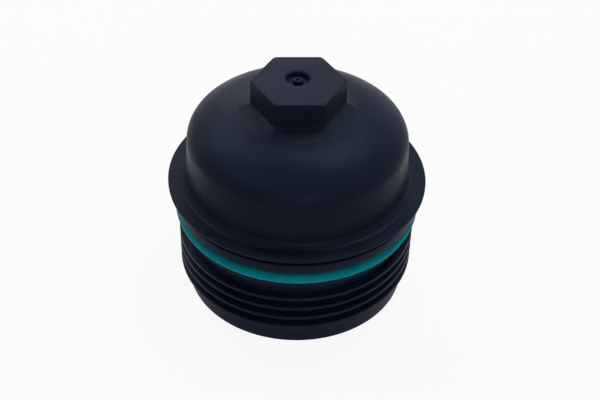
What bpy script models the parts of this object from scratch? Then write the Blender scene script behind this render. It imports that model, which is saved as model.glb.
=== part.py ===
"""Screw-in cap of a cartridge oil filter housing, with its sealing ring and bypass valve.

The cap stands on the rim of its skirt. +Z runs up the screw axis, the origin is at the
middle of the rim, and one flat of the hexagon faces -Y.
"""
import math

import bmesh
import bpy
from mathutils import Matrix

MM = 0.001

# Fineness of the round shapes
CAP_SEGMENTS = 60
CAVITY_SEGMENTS = 60
VALVE_SEGMENTS = 24
CORD_SEGMENTS = 8

# Gap between pieces that rest on each other
CLEARANCE = 0.3 * MM
# Small break on the moulding's outer edges
EDGE_BREAK = 0.3 * MM
# How far a joined shape reaches into the one that carries it
OVERLAP = 0.4 * MM
# How far a cutting shape reaches past the surface that it cuts
CUT_MARGIN = 1.0 * MM

# Skirt and thread
SKIRT_RADIUS = 33.8 * MM
SKIRT_WALL = 2.8 * MM
SKIRT_LEAD_IN = 0.9 * MM
THREAD_PITCH = 3.78 * MM
THREAD_TURNS = 4
THREAD_DEPTH = 2.2 * MM
THREAD_CREST = 1.1 * MM
THREAD_FLANK_ANGLE = math.radians(15)
THREAD_START_HEIGHT = 6.2 * MM
THREAD_RUN_OUT = math.radians(36)
# Share of its depth that the thread starts and ends with
THREAD_END_SIZE = 0.05
# Plain neck above the thread's end
THREAD_RELIEF = 2.78 * MM

# Sealing ring and the ribs on each side of its groove. A depth or reach is measured from the skirt
RING_CORD = 3.2 * MM
GROOVE_DEPTH = 0.5 * MM
GROOVE_PLAY = 1.3 * MM
LOWER_RIB_REACH = 1.6 * MM
LOWER_RIB_HEIGHT = 1.6 * MM
UPPER_RIB_REACH = 3.2 * MM
UPPER_RIB_HEIGHT = 3.65 * MM
UPPER_RIB_CHAMFER = 1.05 * MM

# Flange, and the narrow gap below it
FLANGE_REACH = 4.85 * MM
FLANGE_HEIGHT = 1.15 * MM
FLANGE_GAP = 2.5 * MM
FLANGE_FILLET = 2.4 * MM

# Dome
DOME_INSET = 0.6 * MM
DOME_WALL = 2.6 * MM
DOME_SIDE_HEIGHT = 13.6 * MM
DOME_DRAFT = math.radians(3.1)
SHOULDER_RADIUS = 6.9 * MM
SHOULDER_END_ANGLE = math.radians(50)
CROWN_RADIUS = 23.5 * MM

# Round foot and hexagon on top
FOOT_RADIUS = 17.2 * MM
FOOT_HEIGHT = 1.9 * MM
HEX_ACROSS_FLATS = 24.0 * MM
HEX_HEIGHT = 7.7 * MM
HEX_CHAMFER_REACH = 1.45 * MM
HEX_CHAMFER_ANGLE = math.radians(30)

# Recess in the hexagon's top, a little behind its middle, and the gate's nub on its floor
RECESS_PLACE = (-0.3 * MM, 1.1 * MM)
RECESS_RADIUS = 3.4 * MM
RECESS_DEPTH = 1.6 * MM
RECESS_FLOOR = 2.9 * MM
RECESS_DISH_WIDTH = 0.5 * MM
RECESS_DISH_DEPTH = 0.3 * MM
GATE_NUB_RADIUS = 1.5 * MM
GATE_NUB_TIP_RADIUS = 1.2 * MM
GATE_NUB_HEIGHT = 1.2 * MM

# Boss and ribs under the roof
BOSS_BORE_RADIUS = 7.9 * MM
BOSS_WALL = 2.9 * MM
BOSS_LENGTH = 8.8 * MM
ROOF_RIB_COUNT = 8
ROOF_RIB_THICKNESS = 1.8 * MM
ROOF_RIB_DROP = 3.5 * MM

# Snap-in head of the valve body
SNAP_HEIGHT = 3.8 * MM
SNAP_BARB = 0.8 * MM
SNAP_BARB_HEIGHT = 0.9 * MM
SNAP_TIP_HEIGHT = 1.7 * MM
SNAP_WALL = 2.0 * MM
SNAP_SLOT_WIDTH = 1.6 * MM
SNAP_SLOT_RISE = 1.0 * MM
SNAP_SLOT_COUNT = 4

# Valve body: inlet cage, cartridge disc and spigot
CAGE_FLOOR = 2.0 * MM
CAGE_HEIGHT = 6.7 * MM
CAGE_WALL = 2.6 * MM
WINDOW_COUNT = 4
WINDOW_WIDTH = 9.0 * MM
WINDOW_MARGIN = 0.6 * MM
DISC_REACH = 3.5 * MM
DISC_THICKNESS = 2.0 * MM
SEAT_RADIUS = 6.6 * MM
SEAT_THICKNESS = 2.0 * MM
SPIGOT_WALL = 2.7 * MM
SPIGOT_LENGTH = 21.0 * MM
SPIGOT_LEAD_IN = 0.5 * MM
SPIGOT_LEAD_IN_HEIGHT = 2.0 * MM
SEAL_CORD = 2.0 * MM
SEAL_GROOVE_DEPTH = 1.4 * MM
SEAL_GROOVE_PLAY = 0.7 * MM
SEAL_GROOVE_DROP = 4.7 * MM

# Moving valve plate: the seat it covers, and the oil's way past its edge
SEAT_LAND = 2.0 * MM
PLATE_OIL_GAP = 1.7 * MM
PLATE_THICKNESS = 2.0 * MM
NOSE_HEIGHT = 1.8 * MM
STEM_RADIUS = 2.2 * MM
STEM_END_INSET = 0.2 * MM
STEM_LEAD_IN = 0.5 * MM
SPRING_PILOT_HEIGHT = 1.3 * MM

# Spring, set in from the plate's edge
SPRING_INSET = 0.9 * MM
SPRING_WIRE = 1.0 * MM
SPRING_TURNS = 6
SPRING_END_PITCH = 1.35 * MM
SPRING_POINTS_PER_TURN = 11

# Spring retainer, snapped into the spigot's mouth
RETAINER_THICKNESS = 1.8 * MM
RETAINER_LIP = 0.6 * MM
RETAINER_LIP_HEIGHT = 0.9 * MM
RETAINER_INSET = 0.9 * MM
RETAINER_HUB_WALL = 1.4 * MM
RETAINER_HUB_RISE = 1.2 * MM
OUTLET_COUNT = 4
OUTLET_SPAN = math.radians(62)

# Radii of the outside, all from the skirt
BORE_RADIUS = SKIRT_RADIUS - SKIRT_WALL
GROOVE_RADIUS = SKIRT_RADIUS - GROOVE_DEPTH
LOWER_RIB_RADIUS = SKIRT_RADIUS + LOWER_RIB_REACH
UPPER_RIB_RADIUS = SKIRT_RADIUS + UPPER_RIB_REACH
FLANGE_RADIUS = SKIRT_RADIUS + FLANGE_REACH
DOME_RADIUS = SKIRT_RADIUS - DOME_INSET

# Radii of the boss and the valve, from the boss's bore and the valve's seat
BOSS_RADIUS = BOSS_BORE_RADIUS + BOSS_WALL
PLATE_RADIUS = SEAT_RADIUS + SEAT_LAND
SPRING_RADIUS = PLATE_RADIUS - SPRING_INSET - SPRING_WIRE / 2
SPRING_PILOT_RADIUS = SPRING_RADIUS - SPRING_WIRE / 2 - CLEARANCE
SPIGOT_BORE_RADIUS = PLATE_RADIUS + PLATE_OIL_GAP
SPIGOT_RADIUS = SPIGOT_BORE_RADIUS + SPIGOT_WALL
DISC_RADIUS = SPIGOT_RADIUS + DISC_REACH

# Heights above the rim, each one stacked on the one below
LOWER_RIB_Z = THREAD_START_HEIGHT + THREAD_TURNS * THREAD_PITCH + THREAD_RELIEF
GROOVE_Z = LOWER_RIB_Z + LOWER_RIB_HEIGHT
GROOVE_HEIGHT = RING_CORD + GROOVE_PLAY
UPPER_RIB_Z = GROOVE_Z + GROOVE_HEIGHT
FLANGE_GAP_Z = UPPER_RIB_Z + UPPER_RIB_HEIGHT
FLANGE_Z = FLANGE_GAP_Z + FLANGE_GAP
FLANGE_TOP_Z = FLANGE_Z + FLANGE_HEIGHT
SHOULDER_Z = FLANGE_TOP_Z + DOME_SIDE_HEIGHT

# Centres of the dome's two arcs, as (radius, height)
SHOULDER_START_RADIUS = DOME_RADIUS - (DOME_SIDE_HEIGHT - FLANGE_FILLET) * math.tan(DOME_DRAFT)
SHOULDER_CENTRE = (
    SHOULDER_START_RADIUS - SHOULDER_RADIUS * math.cos(DOME_DRAFT),
    SHOULDER_Z - SHOULDER_RADIUS * math.sin(DOME_DRAFT),
)
CROWN_CENTRE = (
    SHOULDER_CENTRE[0] + (SHOULDER_RADIUS - CROWN_RADIUS) * math.cos(SHOULDER_END_ANGLE),
    SHOULDER_CENTRE[1] + (SHOULDER_RADIUS - CROWN_RADIUS) * math.sin(SHOULDER_END_ANGLE),
)
CROWN_END_ANGLE = math.acos((FOOT_RADIUS - CROWN_CENTRE[0]) / CROWN_RADIUS)
FOOT_Z = CROWN_CENTRE[1] + CROWN_RADIUS * math.sin(CROWN_END_ANGLE)
HEX_CORNER_RADIUS = HEX_ACROSS_FLATS / 2 / math.cos(math.pi / 6)
HEX_CHAMFER_RADIUS = HEX_ACROSS_FLATS / 2 + HEX_CHAMFER_REACH
HEX_Z = FOOT_Z + FOOT_HEIGHT
TOP_Z = HEX_Z + HEX_HEIGHT

# The roof's underside, and the boss that hangs from it
ROOF_Z = FOOT_Z - DOME_WALL
BOSS_Z = ROOF_Z - BOSS_LENGTH

# The valve body hangs below the boss
CAGE_TOP_Z = BOSS_Z - CLEARANCE
CAGE_CEILING_Z = CAGE_TOP_Z - CAGE_FLOOR
DISC_TOP_Z = CAGE_CEILING_Z - CAGE_HEIGHT
DISC_Z = DISC_TOP_Z - DISC_THICKNESS
SEAT_Z = DISC_Z - SEAT_THICKNESS
SPIGOT_Z = DISC_Z - SPIGOT_LENGTH
SEAL_GROOVE_HEIGHT = SEAL_CORD + SEAL_GROOVE_PLAY
SEAL_GROOVE_TOP_Z = DISC_Z - SEAL_GROOVE_DROP
RETAINER_Z = SPIGOT_Z + RETAINER_INSET
RETAINER_TOP_Z = RETAINER_Z + RETAINER_THICKNESS
HUB_TOP_Z = RETAINER_TOP_Z + RETAINER_HUB_RISE
LIP_Z = RETAINER_Z + (RETAINER_THICKNESS - RETAINER_LIP_HEIGHT) / 2
PLATE_TOP_Z = SEAT_Z - CLEARANCE
PLATE_Z = PLATE_TOP_Z - PLATE_THICKNESS


def clear_scene():
    """Remove whatever the scene holds."""
    for thing in list(bpy.data.objects):
        bpy.data.objects.remove(thing, do_unlink=True)


def new_collection(name):
    """Add a collection to the scene."""
    collection = bpy.data.collections.new(name)
    bpy.context.scene.collection.children.link(collection)
    return collection


def new_material(name, colour, roughness, metallic=0.0):
    """Make a plain material for one sub-part."""
    material = bpy.data.materials.new(name)
    material.use_nodes = True
    shader = material.node_tree.nodes["Principled BSDF"]
    shader.inputs["Base Color"].default_value = (*colour, 1.0)
    shader.inputs["Roughness"].default_value = roughness
    shader.inputs["Metallic"].default_value = metallic
    material.diffuse_color = (*colour, 1.0)
    return material


def new_object(name, mesh, collection, material=None):
    """Put a mesh in the scene as a named object."""
    thing = bpy.data.objects.new(name, mesh)
    collection.objects.link(thing)
    if material:
        mesh.materials.append(material)
    return thing


def shade_by_angle(thing, angle=math.radians(30)):
    """Shade round faces smooth and keep the edges between them crisp."""
    thing.data.shade_smooth()
    thing.data.set_sharp_from_angle(angle=angle)


def arc(centre, radius, start_angle, end_angle, steps):
    """List points along an arc in the (radius, height) plane, both ends included."""
    points = []
    for step in range(steps + 1):
        angle = start_angle + (end_angle - start_angle) * step / steps
        points.append((centre[0] + radius * math.cos(angle), centre[1] + radius * math.sin(angle)))
    return points


def turned(name, profile, segments, collection, material=None):
    """Turn a profile of (radius, height) points about Z.

    The profile runs down the outer side. It is closed with a last edge unless it starts on the axis.
    """
    count = len(profile)
    edges = [(index, index + 1) for index in range(count - 1)]
    if profile[0][0] > 0:
        edges.append((count - 1, 0))
    mesh = bpy.data.meshes.new(name)
    mesh.from_pydata([(radius, 0.0, height) for radius, height in profile], edges, [])
    thing = new_object(name, mesh, collection, material)
    screw = thing.modifiers.new("turn", "SCREW")
    screw.steps = segments
    screw.render_steps = segments
    screw.use_merge_vertices = True
    screw.merge_threshold = 0.00001
    screw.use_smooth_shade = True
    return thing


def box_mesh(name, low, high):
    """Make a box between two corners."""
    maker = bmesh.new()
    bmesh.ops.create_cube(maker, size=1.0)
    for vertex in maker.verts:
        vertex.co = [
            (low[axis] + high[axis]) / 2 + vertex.co[axis] * (high[axis] - low[axis])
            for axis in range(3)
        ]
    mesh = bpy.data.meshes.new(name)
    maker.to_mesh(mesh)
    maker.free()
    return mesh


def plate_mesh(name, outline, thickness):
    """Extrude a flat outline evenly to both sides of its plane."""
    curve = bpy.data.curves.new(name, "CURVE")
    curve.dimensions = "2D"
    curve.fill_mode = "BOTH"
    curve.extrude = thickness / 2
    spline = curve.splines.new("POLY")
    spline.points.add(len(outline) - 1)
    for point, (across, up) in zip(spline.points, outline):
        point.co = (across, up, 0.0, 1.0)
    spline.use_cyclic_u = True
    carrier = bpy.data.objects.new(name, curve)
    bpy.context.scene.collection.objects.link(carrier)
    evaluated = carrier.evaluated_get(bpy.context.evaluated_depsgraph_get())
    mesh = bpy.data.meshes.new_from_object(evaluated)
    bpy.data.objects.remove(carrier)
    welder = bmesh.new()
    welder.from_mesh(mesh)
    bmesh.ops.remove_doubles(welder, verts=welder.verts, dist=0.000001)
    welder.to_mesh(mesh)
    welder.free()
    return mesh


def turned_copies(name, mesh, count, first_angle=0.0):
    """Repeat a mesh evenly round the Z axis, as one mesh."""
    gathered = bmesh.new()
    for number in range(count):
        angle = first_angle + 2 * math.pi * number / count
        known = len(gathered.verts)
        gathered.from_mesh(mesh)
        gathered.verts.ensure_lookup_table()
        for vertex in gathered.verts[known:]:
            x, y = vertex.co.x, vertex.co.y
            vertex.co.x = x * math.cos(angle) - y * math.sin(angle)
            vertex.co.y = x * math.sin(angle) + y * math.cos(angle)
    repeated = bpy.data.meshes.new(name)
    gathered.to_mesh(repeated)
    gathered.free()
    return repeated


def combine(thing, other, operation):
    """Join another object to a piece, or cut it away, and keep it as a guide."""
    boolean = thing.modifiers.new(other.name, "BOOLEAN")
    boolean.operation = operation
    boolean.object = other
    boolean.solver = "EXACT"
    other.hide_render = True
    other.display_type = "WIRE"


def thread_section(angle, size):
    """Corners of the thread's section: low root, low crest, high crest, high root.

    The angle is measured from the thread's start, and size is its height from 0 to 1.
    """
    middle = THREAD_START_HEIGHT + THREAD_PITCH * angle / (2 * math.pi)
    root_radius = SKIRT_RADIUS - OVERLAP
    crest_radius = root_radius + (THREAD_DEPTH + OVERLAP) * size
    half_crest = THREAD_CREST / 2
    half_root = half_crest + (THREAD_DEPTH + OVERLAP) * math.tan(THREAD_FLANK_ANGLE)
    return (
        (root_radius, middle - half_root),
        (crest_radius, middle - half_crest),
        (crest_radius, middle + half_crest),
        (root_radius, middle + half_root),
    )


def thread_mesh():
    """Loft the ridge of the thread, rising to nothing at both ends at the back of the cap."""
    steps = CAP_SEGMENTS * THREAD_TURNS
    total = 2 * math.pi * THREAD_TURNS
    maker = bmesh.new()
    rings = []
    for step in range(steps + 1):
        angle = total * step / steps
        size = min(angle, total - angle) / THREAD_RUN_OUT
        size = max(THREAD_END_SIZE, min(1.0, size))
        direction = angle + math.pi / 2
        ring = []
        for radius, height in thread_section(angle, size):
            place = (radius * math.cos(direction), radius * math.sin(direction), height)
            ring.append(maker.verts.new(place))
        rings.append(ring)
    corners = len(rings[0])
    for ring, following in zip(rings, rings[1:]):
        for index in range(corners):
            beside = (index + 1) % corners
            maker.faces.new((ring[index], following[index], following[beside], ring[beside]))
    maker.faces.new(rings[0])
    maker.faces.new(reversed(rings[-1]))
    bmesh.ops.recalc_face_normals(maker, faces=maker.faces)
    mesh = bpy.data.meshes.new("thread")
    maker.to_mesh(mesh)
    maker.free()
    return mesh


def cap_outer_profile():
    """Outside of the cap from the crown down to the rim, with no foot, hexagon or thread."""
    wall_foot = FLANGE_TOP_Z + FLANGE_FILLET
    fillet_centre = (DOME_RADIUS + FLANGE_FILLET, wall_foot)
    profile = [(0.0, CROWN_CENTRE[1] + CROWN_RADIUS)]
    profile += arc(CROWN_CENTRE, CROWN_RADIUS, math.pi / 2, SHOULDER_END_ANGLE, 6)
    profile += arc(SHOULDER_CENTRE, SHOULDER_RADIUS, SHOULDER_END_ANGLE, DOME_DRAFT, 5)[1:]
    profile += arc(fillet_centre, FLANGE_FILLET, math.pi, 1.5 * math.pi, 4)
    profile += [
        (FLANGE_RADIUS - EDGE_BREAK, FLANGE_TOP_Z),
        (FLANGE_RADIUS, FLANGE_TOP_Z - EDGE_BREAK),
        (FLANGE_RADIUS, FLANGE_Z + EDGE_BREAK),
        (FLANGE_RADIUS - EDGE_BREAK, FLANGE_Z),
        (SKIRT_RADIUS, FLANGE_Z),
        (SKIRT_RADIUS, FLANGE_GAP_Z),
        (UPPER_RIB_RADIUS - EDGE_BREAK, FLANGE_GAP_Z),
        (UPPER_RIB_RADIUS, FLANGE_GAP_Z - EDGE_BREAK),
        (UPPER_RIB_RADIUS, UPPER_RIB_Z + UPPER_RIB_CHAMFER),
        (UPPER_RIB_RADIUS - UPPER_RIB_CHAMFER, UPPER_RIB_Z),
        (GROOVE_RADIUS, UPPER_RIB_Z),
        (GROOVE_RADIUS, GROOVE_Z),
        (LOWER_RIB_RADIUS - EDGE_BREAK, GROOVE_Z),
        (LOWER_RIB_RADIUS, GROOVE_Z - EDGE_BREAK),
        (LOWER_RIB_RADIUS, LOWER_RIB_Z + EDGE_BREAK),
        (LOWER_RIB_RADIUS - EDGE_BREAK, LOWER_RIB_Z),
        (SKIRT_RADIUS, LOWER_RIB_Z),
        (SKIRT_RADIUS, EDGE_BREAK),
        (SKIRT_RADIUS - EDGE_BREAK, 0.0),
        (0.0, 0.0),
    ]
    return profile


def cavity_profile():
    """Hollow of the cap from the top of the hexagon's core down through the open rim."""
    core_top = TOP_Z - RECESS_DEPTH - RECESS_FLOOR
    groove_low = BOSS_Z + SNAP_HEIGHT - CLEARANCE
    groove_high = BOSS_Z + SNAP_HEIGHT + SNAP_BARB_HEIGHT + SNAP_TIP_HEIGHT
    groove_radius = BOSS_BORE_RADIUS + SNAP_BARB
    profile = [
        (0.0, core_top),
        (BOSS_BORE_RADIUS, core_top),
        (BOSS_BORE_RADIUS, groove_high),
        (groove_radius, groove_high - SNAP_BARB),
        (groove_radius, groove_low),
        (BOSS_BORE_RADIUS, groove_low),
        (BOSS_BORE_RADIUS, BOSS_Z),
        (BOSS_RADIUS, BOSS_Z),
        (BOSS_RADIUS, ROOF_Z),
    ]
    crown = CROWN_RADIUS - DOME_WALL
    shoulder = SHOULDER_RADIUS - DOME_WALL
    profile += arc(CROWN_CENTRE, crown, CROWN_END_ANGLE, SHOULDER_END_ANGLE, 3)
    profile += arc(SHOULDER_CENTRE, shoulder, SHOULDER_END_ANGLE, DOME_DRAFT, 3)[1:]
    profile += [
        (BORE_RADIUS, LOWER_RIB_Z),
        (BORE_RADIUS, SKIRT_LEAD_IN),
        (BORE_RADIUS + SKIRT_LEAD_IN / 2, 0.0),
        (BORE_RADIUS + SKIRT_LEAD_IN / 2, -CUT_MARGIN),
        (0.0, -CUT_MARGIN),
    ]
    return profile


def roof_rib_mesh():
    """Upright rib between the boss and the dome's side, its top buried in the roof."""
    inner = (BOSS_BORE_RADIUS + BOSS_RADIUS) / 2
    crown = CROWN_RADIUS - DOME_WALL / 2
    shoulder = SHOULDER_RADIUS - DOME_WALL / 2
    outline = [(inner, ROOF_Z + DOME_WALL / 2)]
    outline += arc(CROWN_CENTRE, crown, CROWN_END_ANGLE, SHOULDER_END_ANGLE, 3)
    outline += arc(SHOULDER_CENTRE, shoulder, SHOULDER_END_ANGLE, DOME_DRAFT, 3)[1:]
    lowest = SHOULDER_CENTRE[1] - ROOF_RIB_DROP
    outline.append((outline[-1][0], lowest))
    outline.append((BOSS_RADIUS + ROOF_RIB_DROP, ROOF_Z - 2 * ROOF_RIB_DROP / 3))
    outline.append((inner, ROOF_Z - ROOF_RIB_DROP))
    rib = plate_mesh("roof_rib", outline, ROOF_RIB_THICKNESS)
    for vertex in rib.vertices:
        vertex.co = (vertex.co.x, -vertex.co.z, vertex.co.y)
    return rib


def hexagon(cutters):
    """Hexagon with its corners cut back by a cone at the top."""
    height = HEX_HEIGHT + OVERLAP
    maker = bmesh.new()
    bmesh.ops.create_cone(
        maker,
        cap_ends=True,
        segments=6,
        radius1=HEX_CORNER_RADIUS,
        radius2=HEX_CORNER_RADIUS,
        depth=height,
        matrix=Matrix.Translation((0.0, 0.0, TOP_Z - height / 2)) @ Matrix.Rotation(math.pi / 6, 4, "Z"),
    )
    mesh = bpy.data.meshes.new("hexagon")
    maker.to_mesh(mesh)
    maker.free()
    prism = new_object("hexagon", mesh, cutters)
    outside = HEX_CORNER_RADIUS + CUT_MARGIN
    drop = (outside - HEX_CHAMFER_RADIUS) * math.tan(HEX_CHAMFER_ANGLE)
    chamfer = [
        (0.0, TOP_Z + CUT_MARGIN),
        (HEX_CHAMFER_RADIUS - CUT_MARGIN / math.tan(HEX_CHAMFER_ANGLE), TOP_Z + CUT_MARGIN),
        (outside, TOP_Z - drop),
        (outside, HEX_Z - CUT_MARGIN),
        (0.0, HEX_Z - CUT_MARGIN),
    ]
    cone = turned("hexagon_chamfer", chamfer, CAVITY_SEGMENTS, cutters)
    combine(prism, cone, "INTERSECT")
    return prism


def foot_mesh():
    """Foot of the hexagon: its six sides slope down and out to one circle on the crown."""
    buried_z = FOOT_Z - 2 * OVERLAP
    top_z = HEX_Z + OVERLAP / 2
    maker = bmesh.new()
    rings = [[], [], []]
    for step in range(CAP_SEGMENTS):
        angle = 2 * math.pi * step / CAP_SEGMENTS
        from_flat = angle % (math.pi / 3) - math.pi / 6
        side_radius = HEX_ACROSS_FLATS / 2 / math.cos(from_flat)
        slope = FOOT_HEIGHT / (FOOT_RADIUS - side_radius)
        outline = (
            (side_radius - (top_z - HEX_Z) / slope, top_z),
            (FOOT_RADIUS + OVERLAP, FOOT_Z - slope * OVERLAP),
            (FOOT_RADIUS + OVERLAP, buried_z),
        )
        for ring, (radius, height) in zip(rings, outline):
            ring.append(maker.verts.new((radius * math.cos(angle), radius * math.sin(angle), height)))
    for high, low in zip(rings, rings[1:]):
        for step in range(CAP_SEGMENTS):
            beside = (step + 1) % CAP_SEGMENTS
            maker.faces.new((high[step], low[step], low[beside], high[beside]))
    maker.faces.new(rings[0])
    maker.faces.new(reversed(rings[-1]))
    bmesh.ops.recalc_face_normals(maker, faces=maker.faces)
    mesh = bpy.data.meshes.new("foot")
    maker.to_mesh(mesh)
    maker.free()
    return mesh


def recess_profile():
    """Recess in the hexagon's top: a shallow dish, a round hole and the gate's nub on its floor."""
    dish_radius = RECESS_RADIUS + RECESS_DISH_WIDTH
    dish_slope = RECESS_DISH_DEPTH / RECESS_DISH_WIDTH
    floor = TOP_Z - RECESS_DEPTH
    return [
        (0.0, TOP_Z + CUT_MARGIN),
        (dish_radius + CUT_MARGIN / dish_slope, TOP_Z + CUT_MARGIN),
        (RECESS_RADIUS, TOP_Z - RECESS_DISH_DEPTH),
        (RECESS_RADIUS, floor),
        (GATE_NUB_RADIUS, floor),
        (GATE_NUB_TIP_RADIUS, floor + GATE_NUB_HEIGHT),
        (0.0, floor + GATE_NUB_HEIGHT),
    ]


def build_cap(parts, cutters, material):
    """One-piece moulding: hexagon, foot, dome, flange, ribs, thread and skirt."""
    cap = turned("cap", cap_outer_profile(), CAP_SEGMENTS, parts, material)
    combine(cap, new_object("foot", foot_mesh(), cutters), "UNION")
    combine(cap, hexagon(cutters), "UNION")
    combine(cap, new_object("thread", thread_mesh(), cutters), "UNION")
    combine(cap, turned("cavity", cavity_profile(), CAVITY_SEGMENTS, cutters), "DIFFERENCE")
    ribs = turned_copies("roof_ribs", roof_rib_mesh(), ROOF_RIB_COUNT)
    combine(cap, new_object("roof_ribs", ribs, cutters), "UNION")
    recess = turned("recess", recess_profile(), VALVE_SEGMENTS, cutters)
    recess.location = (*RECESS_PLACE, 0.0)
    combine(cap, recess, "DIFFERENCE")
    return cap


def ring(name, middle_radius, height, cord, segments, parts, material):
    """Rubber ring of round section."""
    bpy.ops.mesh.primitive_torus_add(
        location=(0.0, 0.0, height),
        major_radius=middle_radius,
        minor_radius=cord / 2,
        major_segments=segments,
        minor_segments=CORD_SEGMENTS,
    )
    thing = bpy.context.active_object
    thing.name = name
    thing.data.name = name
    for holder in list(thing.users_collection):
        holder.objects.unlink(thing)
    parts.objects.link(thing)
    thing.data.materials.append(material)
    thing.data.shade_smooth()
    return thing


def valve_body_profile():
    """Snap-in head, inlet cage, cartridge disc with the valve's seat, and spigot."""
    head_radius = BOSS_BORE_RADIUS - CLEARANCE
    barb_z = BOSS_Z + SNAP_HEIGHT
    barb_top_z = barb_z + SNAP_BARB_HEIGHT
    tip_z = barb_top_z + SNAP_TIP_HEIGHT - CLEARANCE
    seal_groove_z = SEAL_GROOVE_TOP_Z - SEAL_GROOVE_HEIGHT
    seal_groove_radius = SPIGOT_RADIUS - SEAL_GROOVE_DEPTH
    lip_groove_radius = SPIGOT_BORE_RADIUS + RETAINER_LIP
    return [
        (0.0, CAGE_TOP_Z),
        (head_radius - SNAP_WALL, CAGE_TOP_Z),
        (head_radius - SNAP_WALL, tip_z),
        (head_radius - SNAP_BARB, tip_z),
        (head_radius + SNAP_BARB, barb_top_z),
        (head_radius + SNAP_BARB, barb_z),
        (head_radius, barb_z),
        (head_radius, CAGE_TOP_Z),
        (BOSS_RADIUS, CAGE_TOP_Z),
        (BOSS_RADIUS, DISC_TOP_Z),
        (DISC_RADIUS, DISC_TOP_Z),
        (DISC_RADIUS, DISC_Z),
        (SPIGOT_RADIUS, DISC_Z),
        (SPIGOT_RADIUS, SEAL_GROOVE_TOP_Z),
        (seal_groove_radius, SEAL_GROOVE_TOP_Z),
        (seal_groove_radius, seal_groove_z),
        (SPIGOT_RADIUS, seal_groove_z),
        (SPIGOT_RADIUS, SPIGOT_Z + SPIGOT_LEAD_IN_HEIGHT),
        (SPIGOT_RADIUS - SPIGOT_LEAD_IN, SPIGOT_Z),
        (SPIGOT_BORE_RADIUS, SPIGOT_Z),
        (SPIGOT_BORE_RADIUS, LIP_Z - CLEARANCE),
        (lip_groove_radius + CLEARANCE, LIP_Z - CLEARANCE),
        (lip_groove_radius + CLEARANCE, LIP_Z + RETAINER_LIP_HEIGHT + CLEARANCE),
        (SPIGOT_BORE_RADIUS, LIP_Z + RETAINER_LIP_HEIGHT + CLEARANCE),
        (SPIGOT_BORE_RADIUS, SEAT_Z),
        (SEAT_RADIUS, SEAT_Z),
        (SEAT_RADIUS, DISC_TOP_Z),
        (BOSS_RADIUS - CAGE_WALL, DISC_TOP_Z),
        (BOSS_RADIUS - CAGE_WALL, CAGE_CEILING_Z),
        (0.0, CAGE_CEILING_Z),
    ]


def build_valve_body(parts, cutters, material):
    """Fixed part of the bypass valve, snapped into the boss, that also holds the cartridge."""
    body = turned("valve_body", valve_body_profile(), VALVE_SEGMENTS, parts, material)
    window = box_mesh(
        "window",
        (BOSS_RADIUS - CAGE_WALL - 2 * CUT_MARGIN, -WINDOW_WIDTH / 2, DISC_TOP_Z + WINDOW_MARGIN),
        (BOSS_RADIUS + CUT_MARGIN, WINDOW_WIDTH / 2, CAGE_CEILING_Z - WINDOW_MARGIN),
    )
    windows = turned_copies("windows", window, WINDOW_COUNT)
    combine(body, new_object("windows", windows, cutters), "DIFFERENCE")
    slot = box_mesh(
        "slot",
        (BOSS_BORE_RADIUS - SNAP_WALL - CUT_MARGIN, -SNAP_SLOT_WIDTH / 2, CAGE_TOP_Z + SNAP_SLOT_RISE),
        (BOSS_BORE_RADIUS + SNAP_BARB + CUT_MARGIN, SNAP_SLOT_WIDTH / 2, ROOF_Z),
    )
    slots = turned_copies("slots", slot, SNAP_SLOT_COUNT, math.pi / SNAP_SLOT_COUNT)
    combine(body, new_object("slots", slots, cutters), "DIFFERENCE")
    return body


def build_plate(parts, material):
    """Moving valve plate: nose into the seat, plate, pilot for the spring and guide stem."""
    nose_radius = SEAT_RADIUS - 2 * CLEARANCE
    pilot_z = -PLATE_THICKNESS - SPRING_PILOT_HEIGHT
    stem_z = RETAINER_Z + STEM_END_INSET - PLATE_TOP_Z
    profile = [
        (0.0, NOSE_HEIGHT),
        (nose_radius - NOSE_HEIGHT, NOSE_HEIGHT),
        (nose_radius, CLEARANCE),
        (nose_radius, 0.0),
        (PLATE_RADIUS - CLEARANCE, 0.0),
        (PLATE_RADIUS, -CLEARANCE),
        (PLATE_RADIUS, -PLATE_THICKNESS),
        (SPRING_PILOT_RADIUS, -PLATE_THICKNESS),
        (SPRING_PILOT_RADIUS - CLEARANCE, pilot_z),
        (STEM_RADIUS, pilot_z),
        (STEM_RADIUS, stem_z + STEM_LEAD_IN),
        (STEM_RADIUS - STEM_LEAD_IN, stem_z),
        (0.0, stem_z),
    ]
    plate = turned("valve_plate", profile, VALVE_SEGMENTS, parts, material)
    plate.location = (0.0, 0.0, PLATE_TOP_Z)
    return plate


def spring_height(turn, low, high):
    """Height of the wire's middle after a number of turns, with closed end turns."""
    rise = high - low
    middle_pitch = (rise - 2 * SPRING_END_PITCH) / (SPRING_TURNS - 2)
    if turn < 1:
        return low + SPRING_END_PITCH * turn
    if turn > SPRING_TURNS - 1:
        return high - SPRING_END_PITCH * (SPRING_TURNS - turn)
    return low + SPRING_END_PITCH + middle_pitch * (turn - 1)


def build_spring(parts, material):
    """Coil spring between the retainer and the plate."""
    low = RETAINER_TOP_Z + CLEARANCE + SPRING_WIRE / 2
    high = PLATE_Z - CLEARANCE - SPRING_WIRE / 2
    curve = bpy.data.curves.new("valve_spring", "CURVE")
    curve.dimensions = "3D"
    curve.bevel_depth = SPRING_WIRE / 2
    curve.bevel_resolution = 1
    curve.use_fill_caps = True
    spline = curve.splines.new("POLY")
    steps = SPRING_TURNS * SPRING_POINTS_PER_TURN
    spline.points.add(steps)
    for step, point in enumerate(spline.points):
        turn = step / SPRING_POINTS_PER_TURN
        angle = 2 * math.pi * turn
        x = SPRING_RADIUS * math.cos(angle)
        y = SPRING_RADIUS * math.sin(angle)
        point.co = (x, y, spring_height(turn, low, high), 1.0)
    spring = bpy.data.objects.new("valve_spring", curve)
    parts.objects.link(spring)
    curve.materials.append(material)
    return spring


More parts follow.
